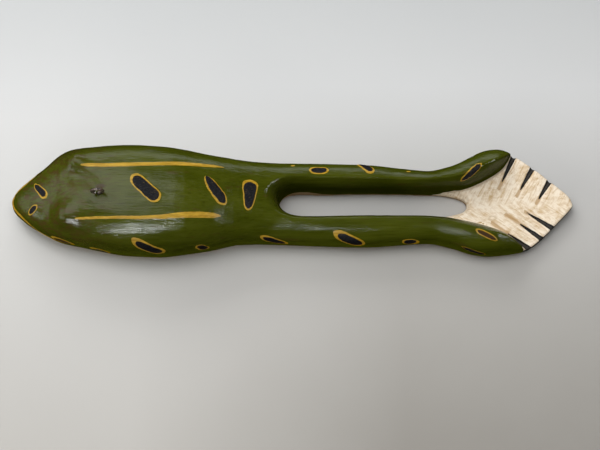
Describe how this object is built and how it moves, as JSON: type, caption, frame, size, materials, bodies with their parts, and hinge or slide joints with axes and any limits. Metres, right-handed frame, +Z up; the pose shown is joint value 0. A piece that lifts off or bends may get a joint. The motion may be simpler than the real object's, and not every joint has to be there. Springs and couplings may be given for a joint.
{
  "type": "guiro",
  "caption": "Frog-shaped hollow wooden guiro, lying on its belly, with a finger gap between its legs, a ribbed rasp board underneath and a wire hanging eye.",
  "frame": {"origin": "centre of the footprint, on the surface the frog lies on", "axes": "+X from the nose to the toes, +Z up out of the back, +Y to the frog's right"},
  "size_m": [0.36, 0.071, 0.0516],
  "materials": {
    "painted_wood": "gloss green paint with gold lines and black spots over light carved wood, cream feet and belly",
    "board_wood": "bare hardwood, worn on the ridges",
    "steel_wire": "tarnished bare steel"
  },
  "bodies": {
    "root": {"carved_frog": "painted_wood", "belly_rasp_board": "board_wood", "board_brads": "steel_wire", "hanging_eye": "steel_wire"}
  },
  "joints": []
}
